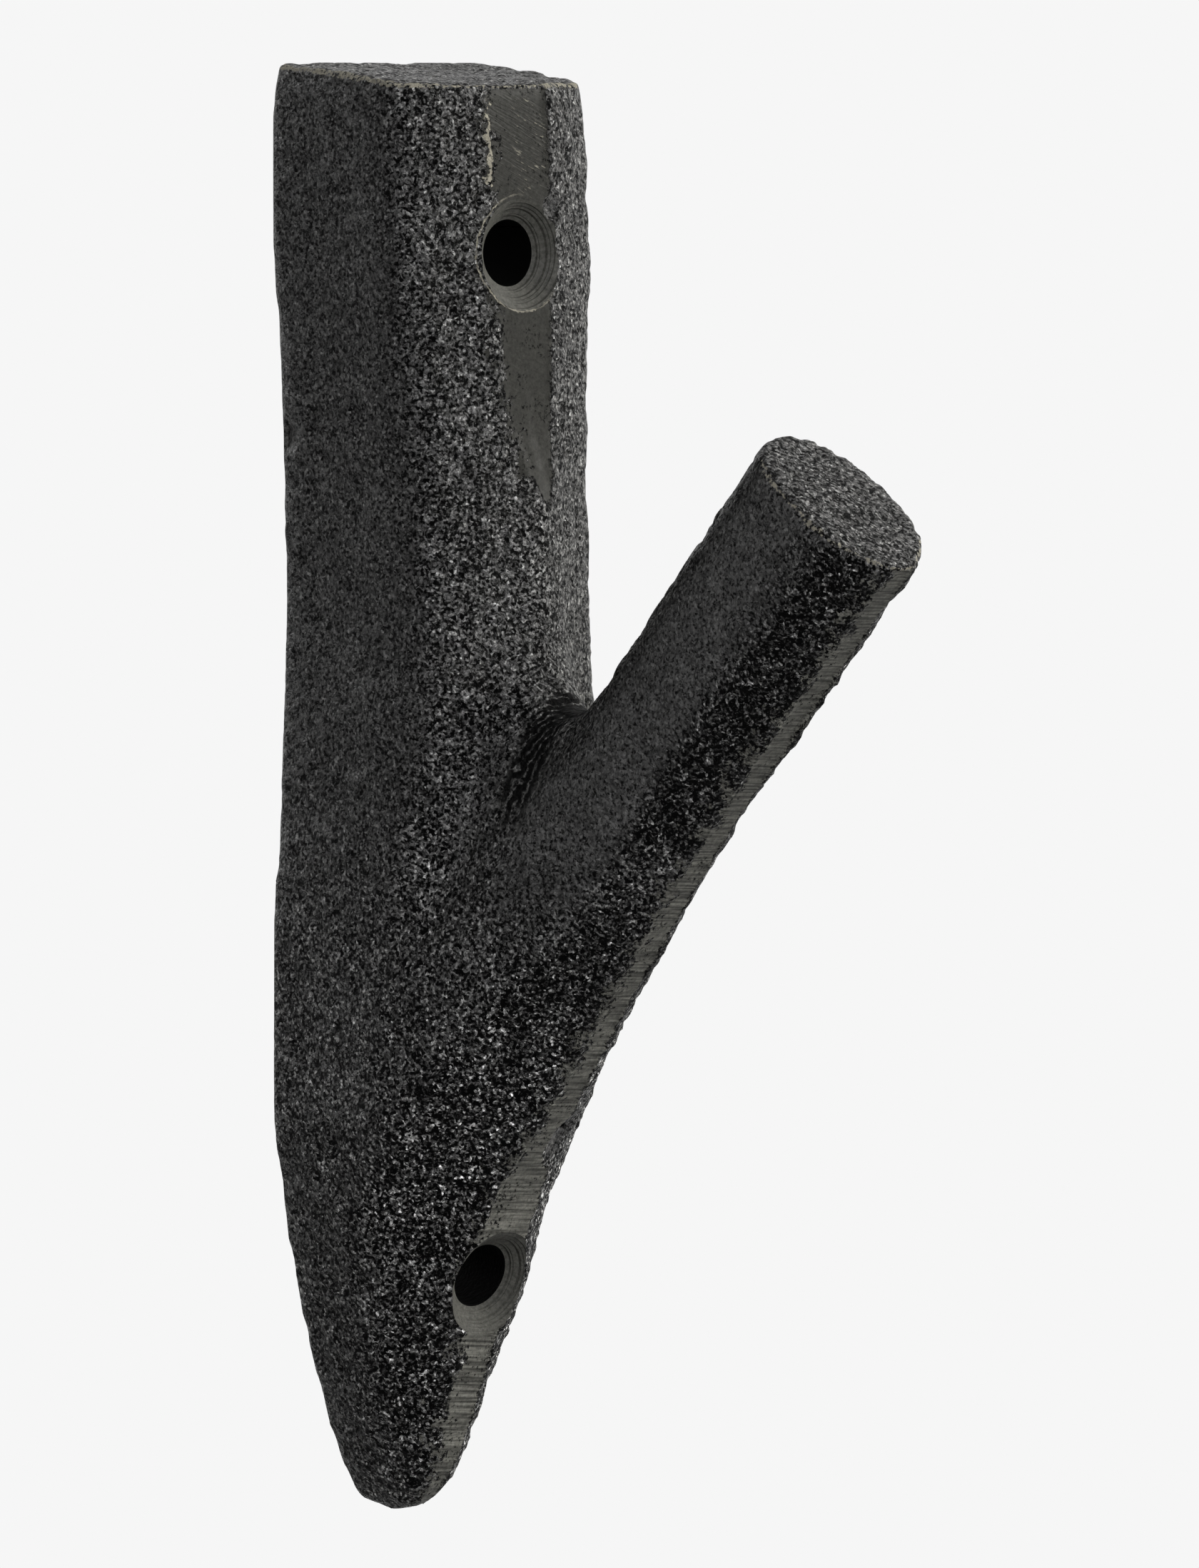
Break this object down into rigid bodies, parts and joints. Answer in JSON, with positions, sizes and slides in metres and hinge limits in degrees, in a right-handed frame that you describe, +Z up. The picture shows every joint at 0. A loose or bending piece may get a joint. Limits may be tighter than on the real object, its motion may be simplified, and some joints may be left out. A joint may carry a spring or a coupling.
{
  "type": "wall hook",
  "caption": "Black cast-iron wall hook in the form of a sawn branch: a flat-backed stem that tapers to a point, a twig stub as the peg, and countersunk screw holes.",
  "frame": {"origin": "on the flat back, midway between the two screw holes' front centres", "axes": "+Y out of the flat back into the wall, +Z up the stem, X = 0 on the parting plane, so the peg points along -Y and up"},
  "size_m": [0.0246, 0.0684, 0.1305],
  "materials": {
    "black_painted_iron": "black satin paint over a sand-cast skin, with the parting line ground flat"
  },
  "bodies": {
    "root": {"hook_casting": "black_painted_iron"}
  },
  "joints": []
}
